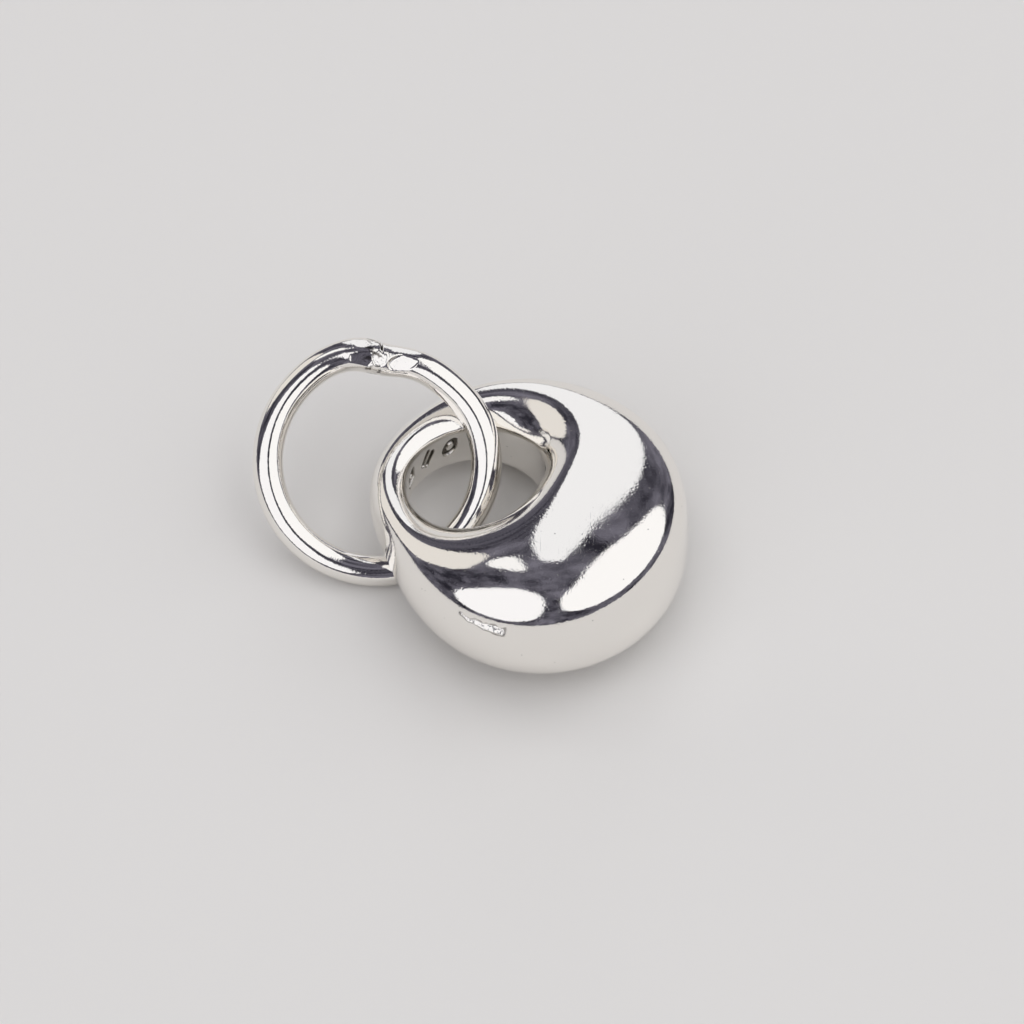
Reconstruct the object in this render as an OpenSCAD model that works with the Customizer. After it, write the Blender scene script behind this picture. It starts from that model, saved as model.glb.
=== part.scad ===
// Ball charm: a drop of solid polished silver, shaped like a pebble that swells from a thin wall
// to a fat ball, with a round hole drilled off centre, and a jump ring threaded through the hole.
// Both lie on a table as they come to rest by themselves. Millimetres, +Z up, the table at z = 0,
// and the origin under the middle of the whole charm.

/* [Drop] */
// Diameter of the round hole through the drop
hole_d = 4.5; // [4.2:0.1:5]
// How far the drill bites past the pebble's own inner edge
drill_bite = 0.25; // [0.2:0.05:0.4]
// From the middle of the hole to the far side of the ball
ball_reach = 7.5; // [7:0.1:8]
// From the middle of the hole to the outside of the thin wall
wall_reach = 3.45; // [3.3:0.05:3.6]
// Half the height of the ball, along the hole
ball_half = 2.5; // [2.3:0.1:2.8]
// Half the height of the thin wall, along the hole
wall_half = 1; // [0.8:0.05:1.2]
// Angle of the ball round the hole, from the heading
ball_at = -18; // [-30:1:0]
// How lopsided the swell is
skew = 23; // [0:1:30]
// Angle of the crown round the hole, from the heading
crown_at = 10; // [0:5:20]
// How far the flanks of a section lean in to the hole at the crown
crown_lean = 0.3; // [0:0.05:0.4]
// How far the flanks of the thin wall lean, out where it is less than 0
wall_lean = -0.15; // [-0.3:0.05:0]
// How full the outer shoulders are at the crown
crown_fullness = 0.33; // [0:0.01:0.4]

/* [How the drop lies] */
// Heading of the ball from the hole, turned about the upright
heading = -30; // [-180:5:180]
// How far the thin wall's side hangs down, because the ball is fatter
droop = 6.5; // [4:0.5:8]
// Roll about the line from the hole to the ball
roll = -6; // [-8:0.5:-4]

/* [Jump ring] */
// Outer diameter of the ring
ring_d = 8; // [7.8:0.1:8.2]
// Thickness of its round wire
wire_d = 1; // [0.8:0.1:1]
// Lean of the ring, up on the thin wall at the back and down to the table in front
ring_tilt = 33; // [32:0.5:34]
// Turn of the ring about the upright
ring_turn = 4; // [2:0.5:6]
// Place of the soldered joint round the ring, from its right side
joint_at = 84.5; // [0:0.5:360]
// Width of the crack left at the joint
joint_w = 0.06; // [0.05:0.01:0.12]
// Depth of the crack into the wire
joint_depth = 0.1; // [0.05:0.05:0.2]

/* [Fineness] */
// Sections round the drop
sections = 72; // [36:12:96]
// Steps over a section, from the pebble's inner edge to its outer edge
shoulder_steps = 14; // [8:2:18]

/* [Hidden] */

// Middle of the drop's hole on the table plan, which centres the whole charm on the origin
hole_x = 0.22;
hole_y = 1.13;
// Middle of the ring from the middle of the hole
ring_dx = -3.2;
ring_dy = 1.05;

// How far the drop has swollen at an angle round its hole, from 0, the thin wall, to 1, the ball.
// The angle starts at the heading and turns to the left. The skew draws the swell out on one side
// and shortens it on the other.
function away(angle) = angle - ball_at;
function swell(angle) = pow((1 + cos(away(angle) - skew * (1 - cos(away(angle))))) / 2, 2);

// How near an angle is to the crown, from 0 to 1. At the crown the flanks of a section are drawn
// in to the hole and its outer shoulders are full.
function crown(angle) = pow((1 + cos(angle - crown_at)) / 2, 4);

// Half a section, from the pebble's inner edge at phi = -90, over the crest, to its outer edge
inner_r = hole_d / 2 - drill_bite;
function reach(angle) = wall_reach + (ball_reach - wall_reach) * swell(angle);
function half_height(angle) = wall_half + (ball_half - wall_half) * swell(angle);
function lean(angle) = wall_lean + (crown_lean - wall_lean) * crown(angle);
function bulge(angle, phi) = crown_fullness * crown(angle) * pow(max(sin(phi), 0), 3);
function across(angle, phi) =
  (reach(angle) + inner_r) / 2
  + (reach(angle) - inner_r) / 2
  * (sin(phi) + (2 * bulge(angle, phi) - lean(angle)) * pow(cos(phi), 2));
function above(angle, phi) = half_height(angle) * cos(phi) * (1 + bulge(angle, phi));

// The whole section, from the inner edge over the top to the outer edge and back underneath
around = 2 * shoulder_steps;
function phi_at(i) = -90 + 180 * (i <= shoulder_steps ? i : around - i) / shoulder_steps;
function side_at(i) = i <= shoulder_steps ? 1 : -1;
function section_point(angle, i) = [
  across(angle, phi_at(i)) * cos(angle),
  across(angle, phi_at(i)) * sin(angle),
  above(angle, phi_at(i)) * side_at(i)
];

module pebble() {
  points = [
    for (k = [0 : sections - 1])
      for (i = [0 : around - 1])
        section_point(360 * k / sections, i)
  ];
  function corner(k, i) = (k % sections) * around + i % around;
  faces = [
    for (k = [0 : sections - 1])
      for (i = [0 : around - 1])
        each [
          [corner(k, i), corner(k, i + 1), corner(k + 1, i)],
          [corner(k, i + 1), corner(k + 1, i + 1), corner(k + 1, i)]
        ]
  ];
  polyhedron(points = points, faces = faces, convexity = 4);
}

// Height of a point above the middle of the hole once the drop lies rolled and drooping, and so
// the height of that middle when the lowest point touches the table
function lying_height(p) =
  p[0] * sin(droop) + (p[1] * sin(roll) + p[2] * cos(roll)) * cos(droop);
hole_z = -min([
  for (k = [0 : sections - 1])
    for (i = [0 : around - 1])
      lying_height(section_point(360 * k / sections, i))
]);

module ball_drop() {
  color("silver")
    translate([hole_x, hole_y, hole_z])
      rotate([roll, -droop, heading])
        difference() {
          pebble();
          cylinder(d = hole_d, h = 4 * ball_half, center = true, $fn = 96);
        }
}

// The ring's wire bends round a circle, and its middle is as high as the lean and the wire make it
bend_r = (ring_d - wire_d) / 2;
ring_z = bend_r * sin(ring_tilt) + wire_d / 2;

module joint_crack() {
  rotate([0, 0, joint_at])
    translate([bend_r, 0, 0])
      rotate([90, 0, 0])
        difference() {
          cylinder(d = 2 * wire_d, h = joint_w, center = true, $fn = 48);
          cylinder(d = wire_d - 2 * joint_depth, h = 2 * joint_w, center = true, $fn = 48);
        }
}

module jump_ring() {
  color("gainsboro")
    translate([hole_x + ring_dx, hole_y + ring_dy, ring_z])
      rotate([ring_tilt, 0, ring_turn])
        difference() {
          rotate_extrude($fn = 96)
            translate([bend_r, 0])
              circle(d = wire_d, $fn = 48);
          joint_crack();
        }
}

ball_drop();
jump_ring();
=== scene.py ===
# %% [markdown]
# A silver ball charm on its jump ring.
# The charm is two pieces of polished silver. The drop is one solid pebble that swells from a thin
# wall to a fat ball, with a round hole drilled off centre. The jump ring is a length of round wire,
# bent to a circle through that hole and soldered shut.
# A mirror finish shows very little of itself and a great deal of what stands round it, so this
# lesson spends its care on three things: a smooth true shape, a believable surface, and a small
# studio for the silver to mirror.

# %% Load the frame
import math

import bmesh
import bpy
from mathutils import Matrix, Vector, noise


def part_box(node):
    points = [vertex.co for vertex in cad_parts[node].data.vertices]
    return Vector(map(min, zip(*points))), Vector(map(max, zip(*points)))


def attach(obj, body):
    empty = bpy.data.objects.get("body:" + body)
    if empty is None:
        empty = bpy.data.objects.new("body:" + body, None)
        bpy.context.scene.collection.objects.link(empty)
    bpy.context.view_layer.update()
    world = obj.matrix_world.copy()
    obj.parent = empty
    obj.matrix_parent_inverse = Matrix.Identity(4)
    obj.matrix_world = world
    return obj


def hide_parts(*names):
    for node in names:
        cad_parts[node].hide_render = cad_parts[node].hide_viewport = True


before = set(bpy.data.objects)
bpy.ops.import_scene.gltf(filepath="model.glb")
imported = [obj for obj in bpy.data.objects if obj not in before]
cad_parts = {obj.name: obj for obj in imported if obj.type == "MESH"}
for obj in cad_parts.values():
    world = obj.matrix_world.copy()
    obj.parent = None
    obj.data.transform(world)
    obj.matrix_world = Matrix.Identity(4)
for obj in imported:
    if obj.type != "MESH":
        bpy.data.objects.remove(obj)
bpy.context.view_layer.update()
MM = 0.001
drop_low, drop_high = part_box("ball_drop")
ring_low, ring_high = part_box("jump_ring")
print("drop box in mm", [round(v / MM, 2) for v in (*drop_low, *drop_high)])
print("ring box in mm", [round(v / MM, 2) for v in (*ring_low, *ring_high)])

# %% [markdown]
# Directions.
# The camera and the lights are easier to think of as a compass bearing and a height above the
# table than as coordinates. Bearing 0 looks away from the camera, 90 is to the right, and 180 is
# back towards the camera.

# %% A direction from a bearing and a height
def direction(bearing, height):
    flat = math.cos(math.radians(height))
    return Vector((
        math.sin(math.radians(bearing)) * flat,
        math.cos(math.radians(bearing)) * flat,
        math.sin(math.radians(height)),
    ))

print("to the camera", [round(v, 3) for v in direction(180, 56)])

# %% [markdown]
# The camera.
# The charm is only 14 mm across and was photographed close up, looking steeply down. A long lens
# at arm's length gives the same flat view. The picture is square, so the width that it shows and
# the distance decide the lens.

# %% Place the camera
PICTURE_PIXELS = 1024
PIXEL_MM = 0.032
CAMERA_HEIGHT = 56
CAMERA_DISTANCE = 0.6
SENSOR_MM = 36
HOLE_PIXEL = (477, 496)
HOLE_MIDDLE = Vector((0.22, 1.13, 1.99)) * MM

to_camera = direction(180, CAMERA_HEIGHT)
picture_right = Vector((1, 0, 0))
picture_up = to_camera.cross(picture_right)
half_picture = PICTURE_PIXELS / 2
aim = (
    HOLE_MIDDLE
    + picture_right * (half_picture - HOLE_PIXEL[0]) * PIXEL_MM * MM
    + picture_up * (HOLE_PIXEL[1] - half_picture) * PIXEL_MM * MM
)
camera_data = bpy.data.cameras.new("camera")
camera_data.sensor_width = SENSOR_MM
camera_data.lens = SENSOR_MM * CAMERA_DISTANCE / (PICTURE_PIXELS * PIXEL_MM * MM)
camera_data.clip_start = 0.01
camera_data.clip_end = 20
camera = bpy.data.objects.new("camera", camera_data)
camera.matrix_world = Matrix.Translation(aim + to_camera * CAMERA_DISTANCE) @ Matrix(
    (picture_right, picture_up, to_camera)
).transposed().to_4x4()
bpy.context.scene.collection.objects.link(camera)
bpy.context.scene.camera = camera
print("lens in mm", round(camera_data.lens), "aim in mm", [round(v / MM, 2) for v in aim])

# %% [markdown]
# Colours and material nodes.
# Colours are written as the hex codes that a colour picker shows, and Blender wants linear light,
# so one function converts them. Another adds a node, sets it up and links it in one go. For a
# node with a colour ramp it also takes the ramp's stops.

# %% Two small helpers
def colour(code):
    shares = [int(code[i:i + 2], 16) / 255 for i in (1, 3, 5)]
    return tuple(
        s / 12.92 if s <= 0.04045 else ((s + 0.055) / 1.055) ** 2.4 for s in shares
    ) + (1.0,)


def add(tree, kind, settings=None, inputs=None, links=None, stops=()):
    node = tree.nodes.new(kind)
    for name, value in (settings or {}).items():
        setattr(node, name, value)
    for name, value in (inputs or {}).items():
        node.inputs[name].default_value = value
    for name, socket in (links or {}).items():
        tree.links.new(socket, node.inputs[name])
    for number, (position, code) in enumerate(stops):
        if number < 2:
            stop = node.color_ramp.elements[number]
            stop.position = position
        else:
            stop = node.color_ramp.elements.new(position)
        stop.color = colour(code)
    return node


def new_material(name):
    material = bpy.data.materials.new(name)
    material.use_nodes = True
    material.node_tree.nodes.clear()
    return material, material.node_tree


def finish_mesh(bm, name, material):
    mesh = bpy.data.meshes.new(name)
    bm.to_mesh(mesh)
    bm.free()
    mesh.materials.append(material)
    piece = bpy.data.objects.new(name, mesh)
    bpy.context.scene.collection.objects.link(piece)
    return piece

print("pale grey in linear light", [round(v, 3) for v in colour("#d8d8d8")])

# %% [markdown]
# The table.
# A plain pale board, matt so that it only glows softly in the underside of the silver.

# %% Make the table
TABLE_SIZE = 3.0
board, tree = new_material("matt_painted_board")
shader = add(tree, "ShaderNodeBsdfPrincipled", inputs={
    "Base Color": colour("#e3e1de"),
    "Roughness": 0.9,
    "Specular IOR Level": 0.2,
})
add(tree, "ShaderNodeOutputMaterial", links={"Surface": shader.outputs["BSDF"]})
bm = bmesh.new()
bmesh.ops.create_grid(bm, x_segments=1, y_segments=1, size=TABLE_SIZE / 2)
table = finish_mesh(bm, "table", board)
print("table", TABLE_SIZE, "m square")

# %% [markdown]
# The studio.
# Polished silver is white only where it mirrors something bright. Four big softboxes stand round
# the charm, at the back, at the back left behind a cream screen, at the right and at the front
# left, and a small lamp hangs above them.
# The room between them is dark, and that is what draws the dark bands that give the ball its
# roundness. Each softbox is a glowing sheet with a rounded outline, and one formula draws them
# all: a middle and two half widths, given as a bearing and a height seen from the charm, and how
# square the corners are. The camera looks through the sheets in other views.

# %% Hang the softboxes
SOFTBOX_DISTANCE = 0.5
OUTLINE_POINTS = 48
SOFTBOXES = {
    # name: (tint, brightness, middle, half widths, squareness)
    "softbox_back": ("#f6f7fb", 1.0, (2, 36), (18, 35), 4),
    "softbox_back_left": ("#f0ece8", 0.93, (-50, 25), (18, 22), 3),
    "softbox_right": ("#fdfdff", 1.05, (100, 45), (65, 30), 3),
    "softbox_front_left": ("#fbfbff", 1.05, (-140, 40), (38, 34), 3),
    "lamp_above": ("#fdfdff", 1.0, (-42, 62), (12, 12), 2),
}


def outline(middle, half_widths, squareness):
    """Directions round an oval. A squareness of 2 is a true oval, and more squares it off."""
    for number in range(OUTLINE_POINTS):
        around = 2 * math.pi * number / OUTLINE_POINTS
        bearing, height = (
            at + math.copysign(abs(share) ** (2 / squareness), share) * half_width
            for at, share, half_width in zip(
                middle, (math.cos(around), math.sin(around)), half_widths
            )
        )
        yield direction(bearing, height)


def glowing_cloth(tint, brightness):
    material, tree = new_material("lit_diffusion_cloth")
    glow = add(tree, "ShaderNodeEmission", inputs={
        "Color": colour(tint),
        "Strength": brightness,
    })
    add(tree, "ShaderNodeOutputMaterial", links={"Surface": glow.outputs["Emission"]})
    return material


for name, (tint, brightness, *shape) in SOFTBOXES.items():
    bm = bmesh.new()
    bm.faces.new([bm.verts.new(toward * SOFTBOX_DISTANCE) for toward in outline(*shape)])
    sheet = finish_mesh(bm, name, glowing_cloth(tint, brightness))
    sheet.visible_camera = False
    sheet.visible_shadow = False
print(len(SOFTBOXES), "glowing sheets")

# %% [markdown]
# A wide light straight above lifts the table to a pale tone. Silver would mirror it as one more
# white patch, so it is kept out of mirror reflections.

# %% Lift the table
lift_data = bpy.data.lights.new("table_lift", "AREA")
lift_data.size = 1.2
lift_data.energy = 4.5
lift = bpy.data.objects.new("table_lift", lift_data)
lift.location = (0, 0, 1.0)
lift.visible_glossy = False
lift.visible_camera = False
bpy.context.scene.collection.objects.link(lift)

# The rest of the room is nearly dark, with vague shapes in it that are full of small detail.
room = bpy.data.worlds.new("dark_room")
room.use_nodes = True
tree = room.node_tree
tree.nodes.clear()
view = add(tree, "ShaderNodeTexCoord").outputs["Generated"]
shapes = add(tree, "ShaderNodeTexNoise", links={"Vector": view}, inputs={
    "Scale": 3.5,
    "Detail": 5.0,
    "Roughness": 0.75,
})
tones = add(
    tree, "ShaderNodeValToRGB", links={"Fac": shapes.outputs["Fac"]},
    stops=((0.40, "#27262f"), (0.66, "#787683")),
)
glow = add(tree, "ShaderNodeBackground", links={"Color": tones.outputs["Color"]})
add(tree, "ShaderNodeOutputWorld", links={"Surface": glow.outputs["Background"]})
bpy.context.scene.world = room
bpy.context.scene.view_settings.view_transform = "Standard"
print("room and lift light set")

# %% [markdown]
# Polished sterling silver.
# The drop is cast in sterling silver, filed, and buffed on a wheel. Silver mirrors about 95% of
# the light with a faint warm tint. Cast and hand-buffed metal is never a perfect mirror: a fine
# grain frays the edges of what it mirrors, tiny pits stay open, and wear adds hair-thin
# scratches. Where the wheel can't reach, sulphur turns silver brown and then nearly black.
# Each of these is a pattern of its own real size in the metal's surface.

# %% The silver of the drop
# The brown and black of tarnish also serve as painted shade in the punched marks and along the nick.
WHITE_METAL = "#f7f4ef"
BROWN_TARNISH_AND_SHADE = "#6d6862"
BLACK_TARNISH_AND_SHADE = "#24211f"
TARNISH_AND_SHADE_STOPS = ((0.0, WHITE_METAL), (1.0, BLACK_TARNISH_AND_SHADE), (0.45, BROWN_TARNISH_AND_SHADE))
CAST_PATTERNS = {
    # name: (size in mm, detail, stretch, turn)
    "ripple": (0.5, 1.0, (1, 1, 1), (0, 0, 0)),
    "grain": (0.075, 3.0, (1, 1, 1), (0, 0, 0)),
    "haze": (0.4, 2.0, (1, 1, 1), (0, 0, 0)),
    "torn metal": (0.16, 2.0, (1, 1, 1), (0, 0, 0)),
    "hairs": (0.05, 1.0, (1, 0.02, 1), (0.3, 0.2, 0.7)),
    "cross hairs": (0.05, 1.0, (1, 1, 0.02), (0.9, 0.1, 0.2)),
}

polished_silver, tree = new_material("cast_and_buffed_sterling_silver")
place = add(tree, "ShaderNodeTexCoord").outputs["Object"]
pattern = {}
for name, (size_mm, detail, stretch, turn) in CAST_PATTERNS.items():
    laid = add(tree, "ShaderNodeMapping", inputs={"Rotation": turn, "Scale": stretch},
               links={"Vector": place}).outputs["Vector"]
    pattern[name] = add(tree, "ShaderNodeTexNoise", links={"Vector": laid}, inputs={
        "Scale": 1 / (size_mm * MM),
        "Detail": detail,
    }).outputs["Fac"]
for name in ("hairs", "cross hairs"):
    pattern[name] = add(tree, "ShaderNodeValToRGB", links={"Fac": pattern[name]},
                        stops=((0.70, "#000000"), (0.76, "#ffffff"))).outputs["Color"]
for name, size_mm, rim in (("pits", 0.5, 0.045), ("dimples", 0.17, 0.32)):
    cells = add(tree, "ShaderNodeTexVoronoi", inputs={"Scale": 1 / (size_mm * MM)},
                links={"Vector": place}).outputs["Distance"]
    pattern[name] = add(tree, "ShaderNodeValToRGB", links={"Fac": cells},
                        stops=((rim / 3, "#ffffff"), (rim, "#000000"))).outputs["Color"]

# The points of the mesh carry two values: painted shade in the punched marks and along the nick's
# flanks, and how much metal the nick tore.
painted_shade_and_dark_seam = add(tree, "ShaderNodeAttribute", settings={"attribute_name": "painted_shade_and_dark_seam"}).outputs["Fac"]
torn = add(tree, "ShaderNodeAttribute", settings={"attribute_name": "torn"}).outputs["Fac"]
pattern["torn metal"] = add(tree, "ShaderNodeMath", settings={"operation": "MULTIPLY"},
                            links={0: pattern["torn metal"], 1: torn}).outputs["Value"]

# How deep each pattern goes, in millimetres. A minus sign cuts in.
surface = None
for name, depth_mm in (
    ("ripple", 0.0019),
    ("grain", 0.0013),
    ("dimples", -0.0006),
    ("hairs", -0.0003),
    ("cross hairs", -0.0003),
    ("pits", -0.003),
    ("torn metal", 0.06),
):
    relief = add(tree, "ShaderNodeBump", inputs={"Distance": depth_mm * MM},
                 links={"Height": pattern[name]})
    if surface is not None:
        tree.links.new(surface, relief.inputs["Normal"])
    surface = relief.outputs["Normal"]

# Tarnish darkens the pits; painted shade darkens the punched marks and the nick's flanks.
dark = add(tree, "ShaderNodeMath", settings={"operation": "MULTIPLY_ADD"}, inputs={1: 0.5},
           links={0: pattern["pits"], 2: painted_shade_and_dark_seam}).outputs["Value"]
tint = add(tree, "ShaderNodeValToRGB", links={"Fac": dark}, stops=TARNISH_AND_SHADE_STOPS)
polish = add(tree, "ShaderNodeMapRange", links={"Value": pattern["haze"]}, inputs={
    "From Min": 0.35,
    "From Max": 0.65,
    "To Min": 0.04,
    "To Max": 0.075,
})
shader = add(tree, "ShaderNodeBsdfPrincipled", inputs={"Metallic": 1.0}, links={
    "Base Color": tint.outputs["Color"],
    "Roughness": polish.outputs["Result"],
    "Normal": surface,
})
add(tree, "ShaderNodeOutputMaterial", links={"Surface": shader.outputs["BSDF"]})
print("silver of the drop:", len(tree.nodes), "nodes")

# %% [markdown]
# Drawn silver wire.
# Wire is pulled through a steel plate, which leaves faint lines along its whole length, and its
# polish is a little brighter than that of a casting. Near the solder joint the torch roughens the
# skin and leaves blotches of dark oxide. Each point of the ring carries its place along and round
# the wire, so the lines can follow the bend, and how close it is to the joint.

# %% The silver of the wire
WIRE_PATTERNS = {
    # name: (size in mm, detail, stretch, follows the wire)
    "ripple": (0.5, 1.0, (1, 1, 1), False),
    "grain": (0.075, 3.0, (1, 1, 1), False),
    "lines": (0.06, 2.0, (0.03, 1, 1), True),
    "haze": (0.3, 2.0, (1, 1, 1), False),
    "blotches": (0.16, 3.0, (0.6, 1, 1), True),
}

drawn_silver, tree = new_material("drawn_silver_wire")
place = add(tree, "ShaderNodeTexCoord").outputs["Object"]
along = add(tree, "ShaderNodeAttribute", settings={"attribute_name": "wire_place"}).outputs["Vector"]
heat = add(tree, "ShaderNodeAttribute", settings={"attribute_name": "joint_heat"}).outputs["Fac"]
painted_shade_and_dark_seam = add(tree, "ShaderNodeAttribute", settings={"attribute_name": "painted_shade_and_dark_seam"}).outputs["Fac"]
pattern = {}
for name, (size_mm, detail, stretch, follows) in WIRE_PATTERNS.items():
    laid = add(tree, "ShaderNodeMapping", inputs={"Scale": stretch},
               links={"Vector": along if follows else place}).outputs["Vector"]
    pattern[name] = add(tree, "ShaderNodeTexNoise", links={"Vector": laid}, inputs={
        "Scale": 1 / (size_mm * MM),
        "Detail": detail,
    }).outputs["Fac"]
scorched = add(tree, "ShaderNodeMath", settings={"operation": "MULTIPLY"},
               links={0: pattern["blotches"], 1: heat}).outputs["Value"]
oxide = add(tree, "ShaderNodeValToRGB", links={"Fac": scorched},
            stops=((0.50, "#000000"), (0.60, "#ffffff"))).outputs["Color"]
pattern["scorched"] = scorched

surface = None
for name, depth_mm in (
    ("ripple", 0.0032),
    ("lines", 0.0009),
    ("grain", 0.0016),
    ("scorched", 0.009),
):
    relief = add(tree, "ShaderNodeBump", inputs={"Distance": depth_mm * MM},
                 links={"Height": pattern[name]})
    if surface is not None:
        tree.links.new(surface, relief.inputs["Normal"])
    surface = relief.outputs["Normal"]

dark = add(tree, "ShaderNodeMath", settings={"operation": "MULTIPLY_ADD"}, inputs={1: 0.4},
           links={0: oxide, 2: painted_shade_and_dark_seam}).outputs["Value"]
tint = add(tree, "ShaderNodeValToRGB", links={"Fac": dark}, stops=TARNISH_AND_SHADE_STOPS)
polish = add(tree, "ShaderNodeMapRange", links={"Value": pattern["haze"]}, inputs={
    "From Min": 0.35,
    "From Max": 0.65,
    "To Min": 0.035,
    "To Max": 0.065,
})
shader = add(tree, "ShaderNodeBsdfPrincipled", inputs={"Metallic": 1.0}, links={
    "Base Color": tint.outputs["Color"],
    "Roughness": polish.outputs["Result"],
    "Normal": surface,
})
add(tree, "ShaderNodeOutputMaterial", links={"Surface": shader.outputs["BSDF"]})
print("silver of the wire:", len(tree.nodes), "nodes")

# %% [markdown]
# The form of the drop.
# Cut the drop anywhere through its hole and the section is a rounded lens. One smooth wave round
# the hole makes the lens swell from the thin wall to the ball, and a skew makes the wave longer on
# one side. A second, narrower wave marks the crown, where the flanks lean in to the hole and the
# outer shoulders are full. Both waves are smooth all the way round, so the drop has no corner.

# %% Describe a section of the drop
HOLE_R = 2.25
INNER_R = 2.0
WALL_REACH, BALL_REACH = 3.45, 7.5
WALL_HALF, BALL_HALF = 1.0, 2.5
WALL_LEAN, CROWN_LEAN = -0.15, 0.3
CROWN_FULLNESS = 0.33
BALL_AT, SKEW, CROWN_AT = -18, 23, 10
HEADING, DROOP, ROLL = -30, 6.5, -6


def wave(degrees, power):
    """1 at 0 degrees and 0 half way round, narrower for a higher power."""
    return ((1 + math.cos(math.radians(degrees))) / 2) ** power


def section_at(angle):
    away = angle - BALL_AT
    swell = wave(away - SKEW * (1 - math.cos(math.radians(away))), 2)
    crown = wave(angle - CROWN_AT, 4)
    reach = WALL_REACH + (BALL_REACH - WALL_REACH) * swell
    half = WALL_HALF + (BALL_HALF - WALL_HALF) * swell
    lean = WALL_LEAN + (CROWN_LEAN - WALL_LEAN) * crown
    return reach, half, lean, CROWN_FULLNESS * crown


def shoulder(section, phi):
    """A point of the lens, as (distance from the hole's axis, height), phi from the crest out."""
    reach, half, lean, fullness = section
    rise = math.sin(phi)
    swell = fullness * max(rise, 0) ** 3
    across = (reach + INNER_R) / 2 + (reach - INNER_R) / 2 * (
        rise + (2 * swell - lean) * math.cos(phi) ** 2
    )
    return Vector((across, half * math.cos(phi) * (1 + swell)))


def bore_edge(section):
    """The angle phi at which the drilled wall meets the lens."""
    low, high = -math.pi / 2, 0.0
    for _ in range(40):
        middle = (low + high) / 2
        if shoulder(section, middle).x < HOLE_R:
            low = middle
        else:
            high = middle
    return high

for angle in (0, 180):
    print("section at", angle, [round(v, 2) for v in section_at(angle)])

# %% [markdown]
# From a plain ring to the drop.
# Spinning a circle makes a plain torus, and subdividing it makes the torus fine. Each point knows
# its angle round the hole and its angle round the section, and that is all it needs to find its
# own place on the drop. A small rounding, made with a curve of three points, runs round both rims
# of the hole, where the polishing wheel took off the edge. Where a nick will be cut, the mesh is
# divided twice more, so that its torn edges can be small.

# %% Form the drop
TORUS_R, TORUS_SECTION_R = 2.0, 1.0
COARSE_SECTIONS, COARSE_POINTS, CUTS = 80, 32, 5
SHOULDER_SHARE = 0.68
RIM_SHARE = 0.08
RIM_MM = 0.15
NICK_ANGLES, NICK_TURNS = (293, 311), (12, 43)


def fine_torus(ring_r, section_r, sections, points, cuts):
    """A torus in its own plane, with cuts more rows in every coarse one."""
    bm = bmesh.new()
    bmesh.ops.create_circle(
        bm, segments=points, radius=section_r,
        matrix=Matrix.Translation((ring_r, 0, 0)) @ Matrix.Rotation(math.pi / 2, 4, "X"),
    )
    bmesh.ops.spin(
        bm, geom=bm.edges[:], cent=(0, 0, 0), axis=(0, 0, 1), angle=2 * math.pi,
        steps=sections, use_merge=True,
    )
    bmesh.ops.subdivide_edges(bm, edges=bm.edges[:], cuts=cuts, use_grid_fill=True)
    bmesh.ops.recalc_face_normals(bm, faces=bm.faces[:])
    for face in bm.faces:
        face.smooth = True
    return bm


def torus_angles(point, ring_r):
    """The angle round the hole, and the angle round the section from its outer edge, in degrees."""
    return (
        math.degrees(math.atan2(point.y, point.x)) % 360,
        math.degrees(math.atan2(point.z, math.hypot(point.x, point.y) - ring_r)),
    )


def section_place(section, edge_phi, turn):
    """A point on the section for turn from -1 to 1: 0 is the outer edge, 1 the bore wall."""
    edge = shoulder(section, edge_phi)
    pace = (shoulder(section, edge_phi + 0.001) - edge).length / 0.001
    rim_phi = edge_phi + RIM_MM / pace
    share = abs(turn)
    if share < SHOULDER_SHARE:
        t = share / SHOULDER_SHARE
        t = 0.55 * t + 0.75 * t ** 2 - 0.3 * t ** 3
        point = shoulder(section, math.pi / 2 + (rim_phi - math.pi / 2) * t)
    elif share < SHOULDER_SHARE + RIM_SHARE:
        t = (share - SHOULDER_SHARE) / RIM_SHARE
        start, end = shoulder(section, rim_phi), edge - Vector((0, RIM_MM))
        point = start * (1 - t) ** 2 + edge * 2 * t * (1 - t) + end * t ** 2
    else:
        t = (1 - share) / (1 - SHOULDER_SHARE - RIM_SHARE)
        point = Vector((HOLE_R, (edge.y - RIM_MM) * t))
    return Vector((point.x, math.copysign(point.y, turn)))


def in_nick(vert):
    angle, turn = torus_angles(vert.co, TORUS_R)
    return NICK_ANGLES[0] < angle < NICK_ANGLES[1] and NICK_TURNS[0] < turn < NICK_TURNS[1]


bm = fine_torus(TORUS_R, TORUS_SECTION_R, COARSE_SECTIONS, COARSE_POINTS, CUTS)
near_nick = [edge for edge in bm.edges if all(in_nick(vert) for vert in edge.verts)]
bmesh.ops.subdivide_edges(bm, edges=near_nick, cuts=2, use_grid_fill=True)
sections = {}
for vert in bm.verts:
    angle, turn = torus_angles(vert.co, TORUS_R)
    key = round(angle, 3)
    if key not in sections:
        section = section_at(key)
        sections[key] = section, bore_edge(section)
    place = section_place(*sections[key], turn / 180)
    around = math.radians(angle)
    vert.co = Vector((place.x * math.cos(around), place.x * math.sin(around), place.y))
print("drop", len(bm.verts), "points, volume", round(bm.calc_volume(signed=True), 1), "mm3")

# %% [markdown]
# Marks on the bore wall.
# The drilled wall of such charms carries small punched marks. Here they are plain shapes, a
# lozenge, two bars and an oval. A punch pushes the metal in, so the points of the wall that lie
# under a stroke move outwards, away from the hole's axis, with soft edges. Their colour is darkened
# with painted shade, more where the punch went deeper.

# %% Punch the marks
MARK_DEPTH, STROKE, EDGE = 0.09, 0.11, 0.035
MARK_SLANT = 32
MARKS = [
    # angle round the hole, height along it, shape
    (189, 0.06, "lozenge"),
    (165, 0.10, "bars"),
    (143, 0.10, "oval"),
]


def soft(share):
    share = min(max(share, 0), 1)
    return share * share * (3 - 2 * share)


def to_segment(point, start, end):
    line = end - start
    share = min(max((point - start).dot(line) / line.length_squared, 0), 1)
    return (point - start - line * share).length


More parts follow.
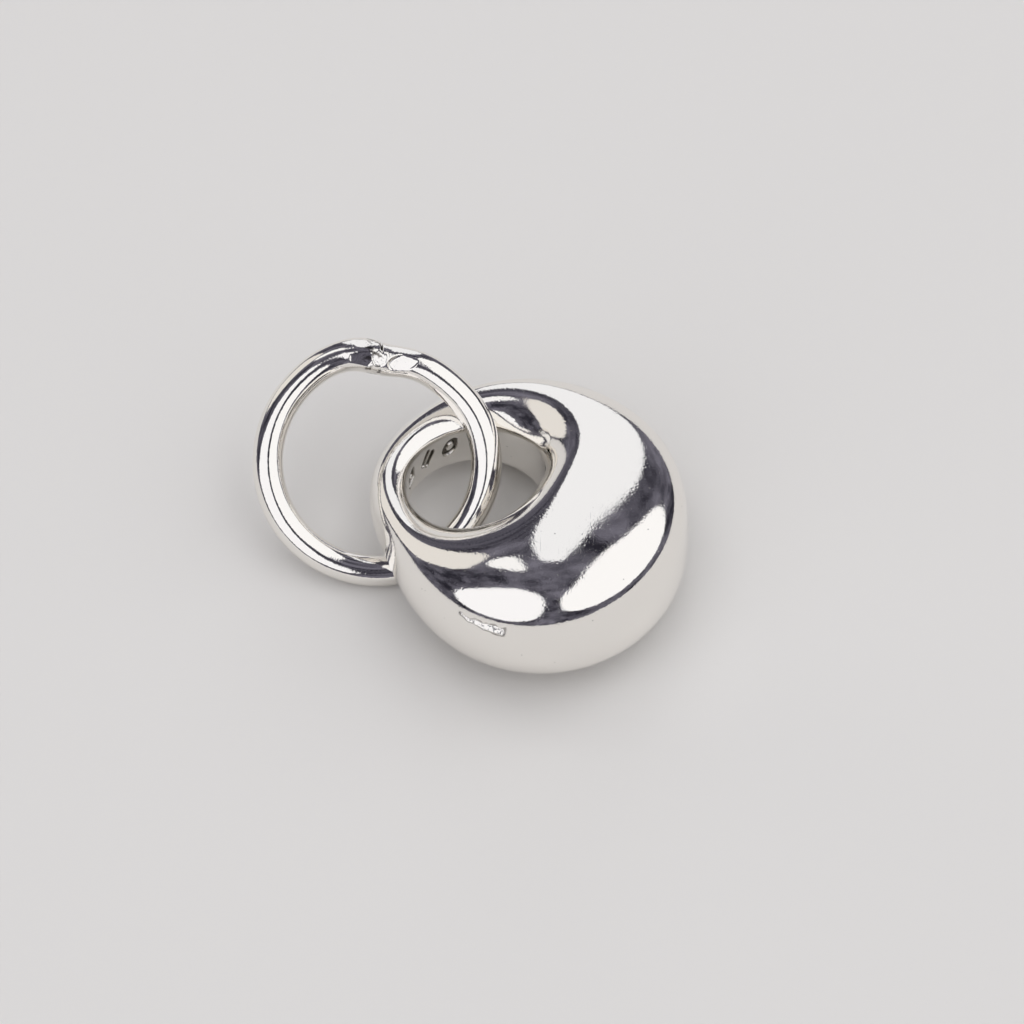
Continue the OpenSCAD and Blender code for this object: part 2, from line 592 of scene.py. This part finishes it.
def to_shape(point, shape):
    """How far a point of the unrolled wall is from the middle of the shape's stroke, in mm."""
    if shape == "lozenge":
        corners = [Vector(c) for c in ((0, 0.3), (0.17, 0), (0, -0.3), (-0.17, 0))]
        return min(to_segment(point, corners[i - 1], corners[i]) for i in range(4))
    if shape == "bars":
        return min(
            to_segment(point, Vector((-0.1, -0.26)), Vector((-0.1, 0.26))),
            to_segment(point, Vector((0.1, -0.26)), Vector((0.1, 0.26))),
        )
    stretched = Vector((point.x / 0.16, point.y / 0.28))
    return abs(stretched.length - 1) * 0.2


slant = Matrix.Rotation(math.radians(MARK_SLANT), 2)
painted_shade_and_dark_seam = bm.verts.layers.float.new("painted_shade_and_dark_seam")
torn_metal = bm.verts.layers.float.new("torn")
moved = 0
for vert in bm.verts:
    if abs(math.hypot(vert.co.x, vert.co.y) - HOLE_R) > 0.002:
        continue
    angle = math.degrees(math.atan2(vert.co.y, vert.co.x)) % 360
    for mark_angle, mark_z, shape in MARKS:
        on_wall = Vector((math.radians(mark_angle - angle) * HOLE_R, vert.co.z - mark_z))
        if on_wall.length > 0.5:
            continue
        depth = MARK_DEPTH * soft((STROKE / 2 + EDGE - to_shape(slant @ on_wall, shape)) / EDGE)
        if depth > 0:
            vert.co.xy = vert.co.xy * (1 + depth / HOLE_R)
            # Painted shade: each mark's colour is darkened, more where it is deeper.
            vert[painted_shade_and_dark_seam] = 0.5 * depth / MARK_DEPTH
            moved += 1
            break
print("marks moved", moved, "points")

# %% [markdown]
# Waves and a nick.
# Buffing by hand leaves very low waves, a few thousandths of a millimetre, that make straight
# reflections wander a little. Low on the ball's near side a rough nick runs across the polish: a
# ragged groove with a burr thrown up beside it, wider towards its end. Painted shade darkens the
# groove's flanks.

# %% Wave the surface and cut the nick
WAVE_MM, WAVE_HEIGHT = 1.3, 0.0035
NICK_START, NICK_END = Vector((2.6, -5.2, 0.9)), Vector((4.1, -5.3, 0.7))

bm.normal_update()
nick = NICK_END - NICK_START
nick_side = nick.cross(Vector((0, -1, 0))).normalized()
cut = 0
for vert in bm.verts:
    normal = vert.normal.copy()
    clear_of_wall = soft((math.hypot(vert.co.x, vert.co.y) - HOLE_R - 0.05) / 0.3)
    push = WAVE_HEIGHT * noise.noise(vert.co / WAVE_MM) * clear_of_wall
    away = vert.co - NICK_START
    share = away.dot(nick) / nick.length_squared
    if -0.1 < share < 1.1 and vert.co.y < -4.8:
        rough = noise.noise(vert.co * 4) + 0.6 * noise.noise(vert.co * 11)
        across = away.dot(nick_side) + 0.1 * noise.noise(vert.co * 4.3)
        reach = 0.05 + 0.11 * soft(share * 1.3 - 0.2) + 0.05 * rough
        ends = soft((share + 0.08) / 0.1) * soft((1.06 - share) / 0.1)
        torn = ends * soft(1.5 - abs(across) / reach)
        push += torn * (0.6 * across + 0.03 * rough - 0.03)
        if torn > 0.05:
            # Painted shade along the groove's flanks, darkest half way into the cut.
            vert[painted_shade_and_dark_seam] = 1.2 * torn * (1 - torn)
            vert[torn_metal] = torn
            cut += 1
    vert.co += normal * push
print("nick cut at", cut, "points")

# %% [markdown]
# How the drop lies.
# The drop was formed with its hole upright. Now it turns to the way that it rests: the heavy ball
# and the thin wall both touch the table, so the hole leans a little.

# %% Lay the drop on the table
lie = (
    Matrix.Rotation(math.radians(HEADING), 4, "Z")
    @ Matrix.Rotation(math.radians(-DROOP), 4, "Y")
    @ Matrix.Rotation(math.radians(ROLL), 4, "X")
)
bmesh.ops.transform(bm, matrix=Matrix.Scale(MM, 4) @ lie, verts=bm.verts[:])
lowest = min(vert.co.z for vert in bm.verts)
bmesh.ops.translate(bm, vec=(HOLE_MIDDLE.x, HOLE_MIDDLE.y, -lowest), verts=bm.verts[:])
print("middle of the hole", round(-lowest / MM, 3), "mm above the table")
drop = finish_mesh(bm, "ball_drop_silver", polished_silver)
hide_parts("ball_drop")
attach(drop, "root")

# %% [markdown]
# The jump ring.
# A jump ring starts as a length of round wire wound round a rod. It is bent open, hooked through
# the charm, bent shut and soldered, and every one of these steps leaves it a little out of round.
# The angle round the ring starts at its right side. A few broad humps push the wire out or in,
# and the two ends at the joint stand a hair apart in height.

# %% Bend the ring
WIRE_R = 0.5
BEND_R = 3.5
JOINT = 84.5
RING_TILT, RING_TURN = 33, 4
RING_HEIGHT = BEND_R * math.sin(math.radians(RING_TILT)) + WIRE_R
RING_MIDDLE = Vector((-2.98, 2.18, RING_HEIGHT))
RING_SECTIONS, WIRE_POINTS, RING_CUTS = 128, 24, 3
CROWDING = 0.65
BENDS = [
    # angle, half width, how far out in mm
    (110, 20, 0.05),
    (80, 15, -0.2),
    (50, 25, -0.15),
]


def hump(away, half_width):
    return math.exp(-(away / half_width) ** 2)


def middle_r(angle):
    """The distance of the wire's middle from the ring's middle."""
    bend = sum(out * hump(angle - at, width) for at, width, out in BENDS)
    step = -0.02 * soft((JOINT - angle) / 0.6 + 0.5) * hump(angle - JOINT, 8)
    return BEND_R + bend + step


def wire_r(angle):
    """The wire is a little thicker where solder has run round the joint."""
    return WIRE_R * (0.988 + 0.15 * hump(angle - 92, 12))


bm = fine_torus(BEND_R, WIRE_R, RING_SECTIONS, WIRE_POINTS, RING_CUTS)
wire_place = bm.verts.layers.float_vector.new("wire_place")
joint_heat = bm.verts.layers.float.new("joint_heat")
ring_soot = bm.verts.layers.float.new("painted_shade_and_dark_seam")
for vert in bm.verts:
    even, beta = torus_angles(vert.co, BEND_R)
    angle = (even - math.degrees(CROWDING * math.sin(math.radians(even - JOINT)))) % 360
    turned = math.radians(beta)
    flat = middle_r(angle) + wire_r(angle) * math.cos(turned)
    around = math.radians(angle)
    height = wire_r(angle) * math.sin(turned)
    vert.co = Vector((flat * math.cos(around), flat * math.sin(around), height))
    vert[wire_place] = (around * BEND_R * MM, turned * WIRE_R * MM, 0)
    vert[joint_heat] = hump(angle - JOINT - 5, 16)
print("ring", len(bm.verts), "points")

# %% [markdown]
# The joint.
# The pliers that closed the ring left three small flats on the wire, and a narrow crack shows
# where the two ends meet. A flat is made like a file makes it: every point that stands above the
# filing plane comes down to the plane, as far as an oval reaches. Each flat leans its own way, so
# two of them mirror a softbox and the third mirrors the dark room.

# %% Crack and flats
FLATS = [
    # angle, half length, half width, turn, depth, how the flat leans right and away
    (95.0, 0.36, 0.27, 2, 0.050, (0.00, -0.25)),
    (84.9, 0.21, 0.25, 0, 0.055, (-0.08, -0.04)),
    (71.7, 0.45, 0.24, 8, 0.065, (-0.08, -0.04)),
]
CRACK_HALF, CRACK_DEPTH = 0.024, 0.12


def on_middle(angle):
    around = math.radians(angle)
    return Vector((math.cos(around), math.sin(around), 0)) * middle_r(angle)


for vert in bm.verts:
    co = vert.co.copy()
    angle = math.degrees(math.atan2(co.y, co.x)) % 360
    middle = on_middle(angle)
    outwards = middle.normalized()
    beta = math.degrees(math.atan2(co.z, (co - middle).dot(outwards)))
    from_middle = (co - middle).normalized()
    co += from_middle * noise.noise(co * 0.9) * 0.006
    co += from_middle * noise.noise(co * 2.5) * 0.005 * hump(angle - JOINT, 20)
    for at, length, width, turn, depth, leaning in FLATS:
        plane_normal = Vector((*leaning, 1)).normalized()
        away = co - on_middle(at)
        across = away - plane_normal * wire_r(at)
        across.rotate(Matrix.Rotation(math.radians(-turn), 3, "Z"))
        share = math.hypot(across.x / length, across.y / width)
        if share > 1.15 or co.z < 0 or abs(angle - at) > 30:
            continue
        above = away.dot(plane_normal) - wire_r(at) + depth
        co -= plane_normal * max(above, 0) * soft((1.15 - share) / 0.15)
    gap = math.radians(angle - JOINT) * middle_r(JOINT) + 0.015 * noise.noise(co * 5)
    crack = soft(1.5 - abs(gap) / CRACK_HALF) * soft((62 - beta) / 8) * soft((beta + 110) / 30)
    co -= from_middle * CRACK_DEPTH * crack
    vert[ring_soot] = crack
    vert.co = co
print("joint at", JOINT, "degrees")

# %% [markdown]
# How the ring lies.
# The ring leans on the thin wall at the back and touches the table in front, so it is tilted about
# its near side, turned a little, and set down with its lowest point on the table.

# %% Lay the ring
lean = (
    Matrix.Translation(RING_MIDDLE)
    @ Matrix.Rotation(math.radians(RING_TURN), 4, "Z")
    @ Matrix.Rotation(math.radians(RING_TILT), 4, "X")
)
bmesh.ops.transform(bm, matrix=Matrix.Scale(MM, 4) @ lean, verts=bm.verts[:])
ring = finish_mesh(bm, "jump_ring_silver", drawn_silver)
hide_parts("jump_ring")
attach(ring, "root")
